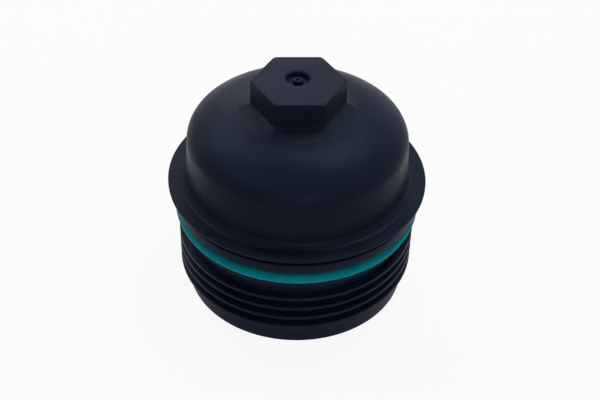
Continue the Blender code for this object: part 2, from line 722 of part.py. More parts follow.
def outlet_mesh():
    """Kidney-shaped cutter for one outlet of the retainer."""
    inner = STEM_RADIUS + CLEARANCE + RETAINER_HUB_WALL
    outline = arc((0.0, 0.0), SPRING_PILOT_RADIUS, -OUTLET_SPAN / 2, OUTLET_SPAN / 2, 5)
    outline += arc((0.0, 0.0), inner, OUTLET_SPAN / 2, -OUTLET_SPAN / 2, 5)
    outlet = plate_mesh("outlet", outline, 2 * (HUB_TOP_Z - RETAINER_Z))
    for vertex in outlet.vertices:
        vertex.co.z += RETAINER_Z
    return outlet


def build_retainer(parts, cutters, material):
    """Snap-in disc that the spring pushes on, with a hub that guides the stem."""
    outer = SPIGOT_BORE_RADIUS - CLEARANCE
    lip = SPIGOT_BORE_RADIUS + RETAINER_LIP
    hub_bore = STEM_RADIUS + CLEARANCE
    hub = hub_bore + RETAINER_HUB_WALL
    profile = [
        (hub_bore, HUB_TOP_Z),
        (hub, HUB_TOP_Z),
        (hub, RETAINER_TOP_Z),
        (outer, RETAINER_TOP_Z),
        (outer, LIP_Z + RETAINER_LIP_HEIGHT),
        (lip, LIP_Z + RETAINER_LIP_HEIGHT / 2),
        (lip, LIP_Z),
        (outer, LIP_Z),
        (outer, RETAINER_Z),
        (hub_bore, RETAINER_Z),
    ]
    retainer = turned("spring_retainer", profile, VALVE_SEGMENTS, parts, material)
    outlets = turned_copies("outlets", outlet_mesh(), OUTLET_COUNT)
    combine(retainer, new_object("outlets", outlets, cutters), "DIFFERENCE")
    return retainer


def main():
    """Build every piece in its place."""
    clear_scene()
    parts = new_collection("oil_filter_housing_cap")
    cutters = new_collection("cutters")
    black_nylon = new_material("black_nylon", (0.012, 0.015, 0.026), 0.42)
    green_rubber = new_material("green_rubber", (0.0, 0.20, 0.17), 0.45)
    dark_nylon = new_material("dark_nylon", (0.02, 0.022, 0.026), 0.5)
    dark_rubber = new_material("dark_rubber", (0.015, 0.015, 0.016), 0.6)
    amber_resin = new_material("amber_resin", (0.16, 0.06, 0.02), 0.45)
    spring_steel = new_material("spring_steel", (0.45, 0.45, 0.46), 0.3, 1.0)
    pale_nylon = new_material("pale_nylon", (0.55, 0.53, 0.47), 0.5)

    build_cap(parts, cutters, black_nylon)
    ring_radius = GROOVE_RADIUS + CLEARANCE + RING_CORD / 2
    ring_z = GROOVE_Z + CLEARANCE + RING_CORD / 2
    ring("sealing_ring", ring_radius, ring_z, RING_CORD, CAP_SEGMENTS, parts, green_rubber)

    build_valve_body(parts, cutters, dark_nylon)
    seal_radius = SPIGOT_RADIUS - SEAL_GROOVE_DEPTH + CLEARANCE + SEAL_CORD / 2
    seal_z = SEAL_GROOVE_TOP_Z - SEAL_GROOVE_HEIGHT / 2
    ring("spigot_seal", seal_radius, seal_z, SEAL_CORD, VALVE_SEGMENTS, parts, dark_rubber)
    build_plate(parts, amber_resin)
    build_spring(parts, spring_steel)
    build_retainer(parts, cutters, pale_nylon)

    bpy.context.view_layer.update()
    for piece in parts.objects:
        if piece.type == "MESH":
            shade_by_angle(piece)


main()
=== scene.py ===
"""Looks of the screw-in cap of an oil filter housing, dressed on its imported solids.

Lengths are in metres, +Z runs up the screw axis and the cap stands on its rim at z = 0.
"""
import math

import bpy
import numpy as np
from mathutils import Matrix, Vector

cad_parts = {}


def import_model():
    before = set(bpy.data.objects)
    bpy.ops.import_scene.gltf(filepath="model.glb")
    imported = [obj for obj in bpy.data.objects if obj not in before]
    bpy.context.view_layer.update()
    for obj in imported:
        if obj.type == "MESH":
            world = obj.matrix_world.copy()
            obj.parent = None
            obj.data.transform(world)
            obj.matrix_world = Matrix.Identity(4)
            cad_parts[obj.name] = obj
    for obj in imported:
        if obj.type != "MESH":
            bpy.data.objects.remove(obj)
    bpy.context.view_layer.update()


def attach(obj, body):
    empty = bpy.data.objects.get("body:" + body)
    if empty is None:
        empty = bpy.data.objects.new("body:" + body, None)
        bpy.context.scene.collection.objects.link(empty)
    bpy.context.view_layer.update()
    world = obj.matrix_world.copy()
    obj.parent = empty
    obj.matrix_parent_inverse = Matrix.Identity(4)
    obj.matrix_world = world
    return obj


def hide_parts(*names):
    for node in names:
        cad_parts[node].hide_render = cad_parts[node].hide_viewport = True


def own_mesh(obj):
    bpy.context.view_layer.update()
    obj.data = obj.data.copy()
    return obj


MM = 0.001

# Fineness round the axis, round small sections and at roundings
CAP_STEPS = 288
THREAD_STEPS = 216
VALVE_STEPS = 144
CORD_STEPS = 28
WIRE_STEPS = 14
ROUNDING_STEPS = 4

# Fineness of the cap's profile, outside and inside, and of the ribs that follow it
CROWN_STEPS = 12
SHOULDER_STEPS = 18
FILLET_STEPS = 12
INNER_CROWN_STEPS = 8
INNER_SHOULDER_STEPS = 10
RIB_CROWN_STEPS = 10
RIB_SHOULDER_STEPS = 8

# Rings of points down the hexagon: its rounded edge and inner corner, side, foot and crease
HEX_EDGE_RINGS = 6
HEX_SIDE_RINGS = 4
FOOT_RINGS = 7
CREASE_RINGS = 9

# Rounding of edges and inner corners, which takes a share of the shorter side at most
EDGE = 0.3 * MM
INNER_CORNER = 0.4 * MM
ROUNDING_ROOM = 0.48
STRAIGHT_HALF_ANGLE = math.radians(89)

# Gap between pieces that fit together, and the radius of the small face that ends a shape on the axis
CLEARANCE = 0.3 * MM
AXIS_RADIUS = 0.03 * MM

# Skirt and thread
SKIRT_RADIUS = 33.8 * MM
BORE_RADIUS = 31.0 * MM
BORE_BEND = 3.0 * MM
LEAD_IN = 0.9 * MM
THREAD_PITCH = 3.78 * MM
THREAD_TURNS = 4
THREAD_DEPTH = 2.2 * MM
THREAD_CREST = 1.1 * MM
THREAD_FLANK_ANGLE = math.radians(15)
THREAD_START_HEIGHT = 6.2 * MM
THREAD_RUN_OUT = math.radians(36)
THREAD_EDGE = 0.28 * MM
THREAD_SINK = 0.06 * MM
THREAD_END_SIZE = 0.02

# Sealing ring, and the faint line that its mould leaves, as shares of the cord's radius
RING_CORD = 3.2 * MM
FLASH_HEIGHT = 0.02
FLASH_WIDTH = 0.1

# Ribs, groove and flange
GROOVE_RADIUS = SKIRT_RADIUS - 0.5 * MM
LOWER_RIB_RADIUS = SKIRT_RADIUS + 1.6 * MM
UPPER_RIB_RADIUS = SKIRT_RADIUS + 3.2 * MM
UPPER_RIB_CHAMFER = 1.05 * MM
FLANGE_RADIUS = SKIRT_RADIUS + 4.85 * MM
LOWER_RIB_Z = 24.1 * MM
GROOVE_Z = LOWER_RIB_Z + 1.6 * MM
UPPER_RIB_Z = GROOVE_Z + 4.5 * MM
FLANGE_GAP_Z = UPPER_RIB_Z + 3.65 * MM
FLANGE_Z = FLANGE_GAP_Z + 2.5 * MM
FLANGE_TOP_Z = FLANGE_Z + 1.15 * MM
FLANGE_FILLET = 2.4 * MM

# Dome: a drafted side, a shoulder arc and a crown arc
DOME_RADIUS = SKIRT_RADIUS - 0.6 * MM
DOME_WALL = 2.6 * MM
DOME_SIDE_HEIGHT = 13.6 * MM
DOME_DRAFT = math.radians(3.1)
SHOULDER_RADIUS = 6.9 * MM
SHOULDER_END_ANGLE = math.radians(50)
CROWN_RADIUS = 23.5 * MM
WALL_RING_SHARES = (0.33, 0.67)
SHOULDER_START_RADIUS = DOME_RADIUS - (DOME_SIDE_HEIGHT - FLANGE_FILLET) * math.tan(DOME_DRAFT)
SHOULDER_CENTRE = (
    SHOULDER_START_RADIUS - SHOULDER_RADIUS * math.cos(DOME_DRAFT),
    FLANGE_TOP_Z + DOME_SIDE_HEIGHT - SHOULDER_RADIUS * math.sin(DOME_DRAFT),
)
CROWN_CENTRE = (
    SHOULDER_CENTRE[0] + (SHOULDER_RADIUS - CROWN_RADIUS) * math.cos(SHOULDER_END_ANGLE),
    SHOULDER_CENTRE[1] + (SHOULDER_RADIUS - CROWN_RADIUS) * math.sin(SHOULDER_END_ANGLE),
)

# Foot of the hexagon, which meets the crown in a soft crease
FOOT_RADIUS = 17.2 * MM
FOOT_HEIGHT = 1.9 * MM
FOOT_CREASE = 0.1 * MM
FOOT_CREASE_REACH = 0.5 * MM
CROWN_END_ANGLE = math.acos((FOOT_RADIUS - CROWN_CENTRE[0]) / CROWN_RADIUS)
FOOT_Z = CROWN_CENTRE[1] + CROWN_RADIUS * math.sin(CROWN_END_ANGLE)

# Hexagon. The warp draws the points of its rings towards its corners
HEX_FLAT = 12.0 * MM
HEX_EDGE = 0.16 * MM
HEX_CORNER_ROUNDING = 0.25 * MM
HEX_CHAMFER_RADIUS = HEX_FLAT + 1.45 * MM
HEX_CHAMFER_ANGLE = math.radians(30)
HEX_WARP = 0.12
HEX_Z = FOOT_Z + FOOT_HEIGHT
TOP_Z = HEX_Z + 7.7 * MM
TOP_CIRCLE_RADIUS = 6.5 * MM
TOP_RING_SHARES = (0.5, 0.9)

# Recess in the hexagon's top, with the nub that the broken gate leaves on its floor
RECESS_PLACE = (-0.3 * MM, 1.1 * MM)
RECESS_RADIUS = 3.4 * MM
RECESS_DEPTH = 1.6 * MM
RECESS_FLOOR = 2.9 * MM
RECESS_DISH_WIDTH = 0.5 * MM
RECESS_DISH_DEPTH = 0.3 * MM
RECESS_EDGE = 0.15 * MM
RECESS_RIM_ROUNDING = 0.4 * MM
GATE_NUB_RADIUS = 1.5 * MM
GATE_NUB_TIP_RADIUS = 1.2 * MM
GATE_NUB_HEIGHT = 1.2 * MM
GATE_NUB_EDGE = 0.2 * MM
GATE_PIT_RADIUS = GATE_NUB_TIP_RADIUS / 2
GATE_PIT_DEPTH = 0.5 * MM
GATE_PIT_EDGE = 0.15 * MM

# Boss and ribs under the roof
ROOF_Z = FOOT_Z - DOME_WALL
BOSS_BORE_RADIUS = 7.9 * MM
BOSS_RADIUS = BOSS_BORE_RADIUS + 2.9 * MM
BOSS_Z = ROOF_Z - 8.8 * MM
BOSS_FILLET = 0.8 * MM
ROOF_RIB_COUNT = 8
ROOF_RIB_THICKNESS = 1.8 * MM
ROOF_RIB_DROP = 3.5 * MM

# Cuts: how far a cutting block reaches past a wall, and the bend from which an edge stays sharp
CUT_MARGIN = 1.0 * MM
SHARP_ANGLE = math.radians(40)

# Valve body
SNAP_HEIGHT = 3.8 * MM
SNAP_BARB = 0.8 * MM
SNAP_BARB_HEIGHT = 0.9 * MM
SNAP_TIP_HEIGHT = 1.7 * MM
SNAP_WALL = 2.0 * MM
SNAP_SLOT_WIDTH = 1.6 * MM
SNAP_SLOT_COUNT = 4
CAGE_TOP_Z = BOSS_Z - CLEARANCE
CAGE_CEILING_Z = CAGE_TOP_Z - 2.0 * MM
CAGE_WALL = 2.6 * MM
WINDOW_COUNT = 4
WINDOW_WIDTH = 9.0 * MM
WINDOW_MARGIN = 0.6 * MM
DISC_TOP_Z = CAGE_CEILING_Z - 6.7 * MM
DISC_Z = DISC_TOP_Z - 2.0 * MM
SEAT_RADIUS = 6.6 * MM
SEAT_Z = DISC_Z - 2.0 * MM
PLATE_RADIUS = SEAT_RADIUS + 2.0 * MM
SPIGOT_BORE_RADIUS = PLATE_RADIUS + 1.7 * MM
SPIGOT_RADIUS = SPIGOT_BORE_RADIUS + 2.7 * MM
SPIGOT_Z = DISC_Z - 21.0 * MM
SPIGOT_LEAD_IN = 0.5 * MM
SPIGOT_LEAD_IN_HEIGHT = 2.0 * MM
DISC_RADIUS = SPIGOT_RADIUS + 3.5 * MM
SEAL_CORD = 2.0 * MM
SEAL_GROOVE_DEPTH = 1.4 * MM
SEAL_GROOVE_HEIGHT = SEAL_CORD + 0.7 * MM
SEAL_GROOVE_TOP_Z = DISC_Z - 4.7 * MM

# Spring retainer
RETAINER_Z = SPIGOT_Z + 0.9 * MM
RETAINER_THICKNESS = 1.8 * MM
RETAINER_TOP_Z = RETAINER_Z + RETAINER_THICKNESS
RETAINER_LIP = 0.6 * MM
RETAINER_LIP_HEIGHT = 0.9 * MM
RETAINER_HUB_WALL = 1.4 * MM
HUB_TOP_Z = RETAINER_TOP_Z + 1.2 * MM
LIP_Z = RETAINER_Z + (RETAINER_THICKNESS - RETAINER_LIP_HEIGHT) / 2
OUTLET_COUNT = 4
OUTLET_SPAN = math.radians(62)
OUTLET_SIDE_STEPS = 12
OUTLET_END_STEPS = 10

# Valve plate and its spring
PLATE_TOP_Z = SEAT_Z - CLEARANCE
PLATE_Z = PLATE_TOP_Z - 2.0 * MM
NOSE_HEIGHT = 1.8 * MM
STEM_RADIUS = 2.2 * MM
STEM_Z = RETAINER_Z + 0.2 * MM
STEM_LEAD_IN = 0.5 * MM
SPRING_WIRE = 1.0 * MM
SPRING_RADIUS = PLATE_RADIUS - 0.9 * MM - SPRING_WIRE / 2
SPRING_PILOT_RADIUS = SPRING_RADIUS - SPRING_WIRE / 2 - CLEARANCE
SPRING_PILOT_Z = PLATE_Z - 1.3 * MM
SPRING_TURNS = 6
SPRING_END_PITCH = 1.35 * MM
SPRING_STEPS_PER_TURN = 48

# Colours of the pieces, and the tints of their gloss
BLACK_NYLON = (0.0112, 0.0168, 0.0352)
GREEN_RUBBER = (0.0, 0.4, 0.46)
DARK_NYLON = (0.02, 0.022, 0.026)
DARK_RUBBER = (0.015, 0.015, 0.016)
AMBER_RESIN = (0.16, 0.06, 0.02)
SPRING_STEEL = (0.45, 0.45, 0.46)
PALE_NYLON = (0.55, 0.53, 0.47)
BLUISH = (0.65, 0.8, 1.0)
NEUTRAL = (1.0, 1.0, 1.0)

# Span that most values of a noise lie in
NOISE_LOW = 0.3
NOISE_HIGH = 0.7

# Camera, from the outlines in the photograph
IMAGE_WIDTH = 600
FOCAL_PIXELS = 1179.5
SENSOR_WIDTH = 36.0
NEAR_CLIP = 10 * MM
CAMERA_TARGET = Vector((0.0, 0.0, 26.6 * MM))
CAMERA_DISTANCE = 362.0 * MM
CAMERA_ELEVATION = math.radians(40.51)
CAMERA_TURN = math.radians(2.34)
CAMERA_ROLL = math.radians(1.257)
CAMERA_SHIFT = 0.006

# Softboxes: name, azimuth round from the front, elevation, width and height in metres, and watts
SOFTBOX_DISTANCE = 0.8
SOFTBOXES = (
    ("back_low", 172, 30, (0.44, 0.32), 1.0),
    ("back_left", 128, 48, (0.36, 0.36), 1.7),
    ("back_right", 225, 66, (0.4, 0.36), 3.1),
    ("front", 352, 18, (0.44, 0.32), 1.3),
)

# Light that the world sheds from below and above the horizon, where 1 is white
FLOOR_BOUNCE = 0.3
CEILING_BOUNCE = 0.0
HORIZON_BLEND = 0.1

# Floor: its half width in metres, its colour and the share of it that glows for the rays that see it
FLOOR_HALF_WIDTH = 3.0
FLOOR_COLOUR = (0.9, 0.9, 0.9)
FLOOR_GLOW = 0.92


def evenly(count):
    """Angles all the way round."""
    return 2 * math.pi * np.arange(count) / count


def rotated(points, angle):
    """Rotate (x, y) points about the axis."""
    cos, sin = math.cos(angle), math.sin(angle)
    return [(x * cos - y * sin, x * sin + y * cos) for x, y in points]


def arc(centre, radius, start_angle, end_angle, steps):
    """List points along an arc in the (radius, height) plane, both ends included."""
    angles = np.linspace(start_angle, end_angle, steps + 1)
    return [(centre[0] + radius * math.cos(a), centre[1] + radius * math.sin(a)) for a in angles]


def rounded(corners):
    """Round the corners of an open line. A corner is (radius, height) or (radius, height, rounding)."""
    points = [corners[0][:2]]
    for before, corner, after in zip(corners, corners[1:], corners[2:]):
        here = np.array(corner[:2])
        to_before = np.array(before[:2]) - here
        to_after = np.array(after[:2]) - here
        room = ROUNDING_ROOM * min(np.linalg.norm(to_before), np.linalg.norm(to_after))
        to_before /= np.linalg.norm(to_before)
        to_after /= np.linalg.norm(to_after)
        half = math.acos(max(-1.0, min(1.0, float(to_before @ to_after)))) / 2
        rounding = corner[2] if len(corner) > 2 else 0.0
        rounding = min(rounding, room * math.tan(half))
        if rounding <= 0 or half > STRAIGHT_HALF_ANGLE:
            points.append(tuple(here))
            continue
        reach = rounding / math.tan(half)
        start = here + to_before * reach
        end = here + to_after * reach
        middle = to_before + to_after
        centre = here + middle / np.linalg.norm(middle) * rounding / math.sin(half)
        first = start - centre
        last = end - centre
        turn = math.pi - 2 * half
        for step in range(ROUNDING_STEPS + 1):
            share = step / ROUNDING_STEPS
            spoke = first * math.sin((1 - share) * turn) + last * math.sin(share * turn)
            points.append(tuple(centre + spoke / math.sin(turn)))
    points.append(corners[-1][:2])
    return points


def circle(radius, height, angles):
    """Ring of points; radius and height are numbers or one value for each angle."""
    height = np.broadcast_to(height, angles.shape)
    return np.column_stack((radius * np.cos(angles), radius * np.sin(angles), height))


def skin(rings, closed=False):
    """Points and faces through rings that run down the outer side.

    A closed skin joins its last ring to its first; an open one gets a face over each end.
    """
    count = len(rings[0])
    here = np.arange(count)
    beside = (here + 1) % count
    rows = len(rings) if closed else len(rings) - 1
    faces = []
    for row in range(rows):
        low = row * count
        high = (row + 1) % len(rings) * count
        faces += np.column_stack((low + here, high + here, high + beside, low + beside)).tolist()
    if not closed:
        faces.append(here.tolist())
        faces.append((len(rings) * count - 1 - here).tolist())
    return np.vstack(rings), faces


def joined(parts):
    """Gather several skins into one set of points and faces."""
    points = []
    faces = []
    known = 0
    for part_points, part_faces in parts:
        points.append(part_points)
        faces += [[index + known for index in face] for face in part_faces]
        known += len(part_points)
    return np.vstack(points), faces


def new_piece(name, shape, material, body, node):
    """Make the object that is shown in place of one solid."""
    points, faces = shape
    mesh = bpy.data.meshes.new(name)
    mesh.from_pydata(points.tolist(), [], faces)
    mesh.materials.append(material)
    mesh.shade_smooth()
    piece = bpy.data.objects.new(name, mesh)
    bpy.context.scene.collection.objects.link(piece)
    normals = piece.modifiers.new("normals", "WEIGHTED_NORMAL")
    normals.keep_sharp = True
    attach(piece, body)
    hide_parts(node)
    return piece


def hexagon_radius(angles, flat, rounding):
    """Distance from the axis to a hexagon with rounded corners, one corner on +X."""
    sector = math.pi / 3
    from_flat = np.abs(np.mod(angles, sector) - sector / 2)
    straight = flat / np.cos(from_flat)
    reach = (flat - rounding) / math.cos(sector / 2)
    from_corner = sector / 2 - from_flat
    inside = rounding ** 2 - (reach * np.sin(from_corner)) ** 2
    curved = reach * np.cos(from_corner) + np.sqrt(np.maximum(inside, 0.0))
    turn = math.atan((flat - rounding) * math.tan(sector / 2) / flat)
    return np.where(from_flat > turn, curved, straight)


def crown_height(radius):
    """Height of the crown's arc at a distance from the axis."""
    return CROWN_CENTRE[1] + np.sqrt(CROWN_RADIUS ** 2 - (radius - CROWN_CENTRE[0]) ** 2)


def foot_height(radius, outline):
    """Height of the foot, which falls from the hexagon's outline to one circle on the crown."""
    foot = FOOT_Z + FOOT_HEIGHT * (FOOT_RADIUS - radius) / (FOOT_RADIUS - outline)
    crown = crown_height(radius)
    return (foot + crown + np.sqrt((foot - crown) ** 2 + FOOT_CREASE ** 2)) / 2


def recess_rings(angles):
    """Gate's nub with its pit, the recess round it and the rim at the top, a little behind the axis."""
    floor = TOP_Z - RECESS_DEPTH
    nub_top = floor + GATE_NUB_HEIGHT
    line = [
        (AXIS_RADIUS, nub_top - GATE_PIT_DEPTH),
        (GATE_PIT_RADIUS, nub_top - GATE_PIT_DEPTH, GATE_NUB_EDGE),
        (GATE_PIT_RADIUS, nub_top, GATE_PIT_EDGE),
        (GATE_NUB_TIP_RADIUS, nub_top, GATE_NUB_EDGE),
        (GATE_NUB_RADIUS, floor, GATE_NUB_EDGE),
        (RECESS_RADIUS, floor, INNER_CORNER),
        (RECESS_RADIUS, TOP_Z - RECESS_DISH_DEPTH, RECESS_EDGE),
        (RECESS_RADIUS + RECESS_DISH_WIDTH, TOP_Z, RECESS_RIM_ROUNDING),
        (TOP_CIRCLE_RADIUS, TOP_Z),
    ]
    place = np.array((*RECESS_PLACE, 0.0))
    return [circle(radius, height, angles) + place for radius, height in rounded(line)]


def hexagon_rings(even, drawn):
    """Top, rounded edge, sides and inner corner of the hexagon, then its foot down to the crown."""
    rings = []
    inner = hexagon_radius(drawn, HEX_FLAT - HEX_EDGE, HEX_CORNER_ROUNDING)
    for share in TOP_RING_SHARES:
        angles = even + share * (drawn - even)
        radius = (1 - share) * TOP_CIRCLE_RADIUS + share * inner
        rings.append(circle(radius, TOP_Z, angles))
    for turn in np.linspace(0, math.pi / 2, HEX_EDGE_RINGS):
        flat = HEX_FLAT - HEX_EDGE * (1 - math.sin(turn))
        radius = hexagon_radius(drawn, flat, HEX_CORNER_ROUNDING)
        chamfer = np.maximum(radius - HEX_CHAMFER_RADIUS, 0.0) * math.tan(HEX_CHAMFER_ANGLE)
        height = TOP_Z - HEX_EDGE * (1 - math.cos(turn)) - chamfer
        rings.append(circle(radius, height, drawn))
    side = hexagon_radius(drawn, HEX_FLAT, HEX_CORNER_ROUNDING)
    for height in np.linspace(TOP_Z - 2 * EDGE, HEX_Z + 2 * INNER_CORNER, HEX_SIDE_RINGS):
        rings.append(circle(side, height, drawn))
    for turn in np.linspace(0, math.pi / 2, HEX_EDGE_RINGS):
        flat = HEX_FLAT + INNER_CORNER * (1 - math.cos(turn))
        radius = hexagon_radius(drawn, flat, HEX_CORNER_ROUNDING + flat - HEX_FLAT)
        height = foot_height(radius, side) + INNER_CORNER * (1 - math.sin(turn))
        rings.append(circle(radius, height, drawn))
    crease_start = FOOT_RADIUS - FOOT_CREASE_REACH
    for share in np.linspace(0, 1, FOOT_RINGS)[1:]:
        angles = even + (1 - share) * (drawn - even)
        outline = hexagon_radius(angles, HEX_FLAT, HEX_CORNER_ROUNDING)
        radius = (1 - share) * (outline + INNER_CORNER) + share * crease_start
        rings.append(circle(radius, foot_height(radius, outline), angles))
    outline = hexagon_radius(even, HEX_FLAT, HEX_CORNER_ROUNDING)
    for radius in np.linspace(crease_start, FOOT_RADIUS + FOOT_CREASE_REACH, CREASE_RINGS)[1:]:
        rings.append(circle(radius, foot_height(radius, outline), even))
    return rings


def outside_line():
    """Round outside of the cap, from the crown down to the rim and up the bore."""
    crown_start = math.acos((FOOT_RADIUS + 2 * FOOT_CREASE_REACH - CROWN_CENTRE[0]) / CROWN_RADIUS)
    line = arc(CROWN_CENTRE, CROWN_RADIUS, crown_start, SHOULDER_END_ANGLE, CROWN_STEPS)
    line += arc(SHOULDER_CENTRE, SHOULDER_RADIUS, SHOULDER_END_ANGLE, DOME_DRAFT, SHOULDER_STEPS)[1:]
    wall_top = line[-1]
    wall_foot = (DOME_RADIUS, FLANGE_TOP_Z + FLANGE_FILLET)
    for share in WALL_RING_SHARES:
        line.append(tuple(top + (foot - top) * share for top, foot in zip(wall_top, wall_foot)))
    fillet_centre = (DOME_RADIUS + FLANGE_FILLET, FLANGE_TOP_Z + FLANGE_FILLET)
    line += arc(fillet_centre, FLANGE_FILLET, math.pi, 1.5 * math.pi, FILLET_STEPS)
    line += [
        (FLANGE_RADIUS, FLANGE_TOP_Z, EDGE),
        (FLANGE_RADIUS, FLANGE_Z, EDGE),
        (SKIRT_RADIUS, FLANGE_Z, INNER_CORNER),
        (SKIRT_RADIUS, FLANGE_GAP_Z, INNER_CORNER),
        (UPPER_RIB_RADIUS, FLANGE_GAP_Z, EDGE),
        (UPPER_RIB_RADIUS, UPPER_RIB_Z + UPPER_RIB_CHAMFER, EDGE),
        (UPPER_RIB_RADIUS - UPPER_RIB_CHAMFER, UPPER_RIB_Z, EDGE),
        (GROOVE_RADIUS, UPPER_RIB_Z, EDGE),
        (GROOVE_RADIUS, GROOVE_Z, EDGE),
        (LOWER_RIB_RADIUS, GROOVE_Z, EDGE),
        (LOWER_RIB_RADIUS, LOWER_RIB_Z, EDGE),
        (SKIRT_RADIUS, LOWER_RIB_Z, INNER_CORNER),
        (SKIRT_RADIUS, LOWER_RIB_Z / 2),
        (SKIRT_RADIUS, 0.0, EDGE),
        (BORE_RADIUS + LEAD_IN / 2, 0.0, EDGE),
        (BORE_RADIUS, LEAD_IN, INNER_CORNER),
        (BORE_RADIUS, LOWER_RIB_Z, BORE_BEND),
    ]
    return line


def hollow_line():
    """Round inside of the cap, from the shoulder over the roof and the boss to its closed top."""
    core_top = TOP_Z - RECESS_DEPTH - RECESS_FLOOR
    groove_low = BOSS_Z + SNAP_HEIGHT - CLEARANCE
    groove_high = BOSS_Z + SNAP_HEIGHT + SNAP_BARB_HEIGHT + SNAP_TIP_HEIGHT
    shoulder = SHOULDER_RADIUS - DOME_WALL
    crown = CROWN_RADIUS - DOME_WALL
    line = arc(SHOULDER_CENTRE, shoulder, DOME_DRAFT, SHOULDER_END_ANGLE, INNER_SHOULDER_STEPS)
    line += arc(CROWN_CENTRE, crown, SHOULDER_END_ANGLE, CROWN_END_ANGLE, INNER_CROWN_STEPS)[1:]
    line += [
        (BOSS_RADIUS, ROOF_Z, BOSS_FILLET),
        (BOSS_RADIUS, BOSS_Z, EDGE),
        (BOSS_BORE_RADIUS, BOSS_Z, EDGE),
        (BOSS_BORE_RADIUS, groove_low),
        (BOSS_BORE_RADIUS + SNAP_BARB, groove_low),
        (BOSS_BORE_RADIUS + SNAP_BARB, groove_high - SNAP_BARB),
        (BOSS_BORE_RADIUS, groove_high),
        (BOSS_BORE_RADIUS, core_top, 2 * INNER_CORNER),
        (AXIS_RADIUS, core_top),
    ]
    return line


def thread_shape():
    """Ridge of the thread with a rounded crest, fading into the skirt at both ends at the back."""
    half_crest = THREAD_CREST / 2
    half_root = half_crest + THREAD_DEPTH * math.tan(THREAD_FLANK_ANGLE)
    foot = half_root + 2 * THREAD_EDGE
    section = [
        (-THREAD_SINK, -foot),
        (-THREAD_SINK, -half_root, THREAD_EDGE),
        (THREAD_DEPTH, -half_crest, THREAD_EDGE),
        (THREAD_DEPTH, half_crest, THREAD_EDGE),
        (-THREAD_SINK, half_root, THREAD_EDGE),
        (-THREAD_SINK, foot),
    ]
    section = np.array(rounded(section) + [(-EDGE, foot), (-EDGE, -foot)])
    total = 2 * math.pi * THREAD_TURNS
    rings = []
    for turn in np.linspace(0, total, THREAD_STEPS * THREAD_TURNS + 1):
        share = min(1.0, min(turn, total - turn) / THREAD_RUN_OUT)
        size = THREAD_END_SIZE + (1 - THREAD_END_SIZE) * share * share * (3 - 2 * share)
        middle = THREAD_START_HEIGHT + THREAD_PITCH * turn / (2 * math.pi)
        direction = turn + math.pi / 2
        rise = np.where(section[:, 0] > 0, section[:, 0] * size, section[:, 0])
        radius = SKIRT_RADIUS + rise
        rings.append(np.column_stack((
            radius * math.cos(direction),
            radius * math.sin(direction),
            middle + section[:, 1],
        )))
    return skin(rings)


def roof_rib_shape(angle):
    """Upright rib under the roof, with a rounded lower edge."""
    half = ROOF_RIB_THICKNESS / 2
    crown = CROWN_RADIUS - DOME_WALL / 2
    shoulder = SHOULDER_RADIUS - DOME_WALL / 2
    inner = (BOSS_BORE_RADIUS + BOSS_RADIUS) / 2
    roof = [(inner, ROOF_Z + DOME_WALL / 2)]
    roof += arc(CROWN_CENTRE, crown, CROWN_END_ANGLE, SHOULDER_END_ANGLE, RIB_CROWN_STEPS)
    roof += arc(SHOULDER_CENTRE, shoulder, SHOULDER_END_ANGLE, DOME_DRAFT, RIB_SHOULDER_STEPS)[1:]
    low_line = [
        (inner, ROOF_Z - ROOF_RIB_DROP),
        (BOSS_RADIUS + ROOF_RIB_DROP, ROOF_Z - 2 * ROOF_RIB_DROP / 3),
        (roof[-1][0], SHOULDER_CENTRE[1] - ROOF_RIB_DROP),
    ]
    low_radii = [point[0] for point in low_line]
    low_heights = [point[1] for point in low_line]
    rings = []
    for radius, high in roof:
        low = float(np.interp(radius, low_radii, low_heights))
        across = [(-half, high), (-half, low), (half, low), (half, high)]
        edge = rounded([across[0], (*across[1], EDGE), (*across[2], EDGE), across[3]])
        ring = [(radius, offset, height) for offset, height in edge]
        rings.append(np.array(ring))
    points, faces = skin(rings)
    rotation = Matrix.Rotation(angle, 3, "Z")
    return points @ np.array(rotation).T, faces


def cap_shape():
    """The one-piece moulding: its skin, its thread and the ribs under its roof."""
    even = evenly(CAP_STEPS)
    drawn = even - HEX_WARP * np.sin(6 * even)
    rings = recess_rings(even)
    rings += hexagon_rings(even, drawn)
    rings += [circle(radius, height, even) for radius, height in rounded(outside_line() + hollow_line())]
    shapes = [skin(rings), thread_shape()]
    shapes += [roof_rib_shape(2 * math.pi * number / ROOF_RIB_COUNT) for number in range(ROOF_RIB_COUNT)]
    return joined(shapes)


def cord_ring_shape(middle_radius, height, cord, steps):
    """Rubber ring of round section with the faint line that its mould leaves inside and outside."""
    angles = -evenly(CORD_STEPS)
    flash = 1 + FLASH_HEIGHT * np.exp(-(np.sin(angles) / FLASH_WIDTH) ** 2)
    across = middle_radius + cord / 2 * flash / (1 + FLASH_HEIGHT) * np.cos(angles)
    up = height + cord / 2 * np.sin(angles)
    around = evenly(steps)
    return skin([circle(radius, level, around) for radius, level in zip(across, up)], closed=True)


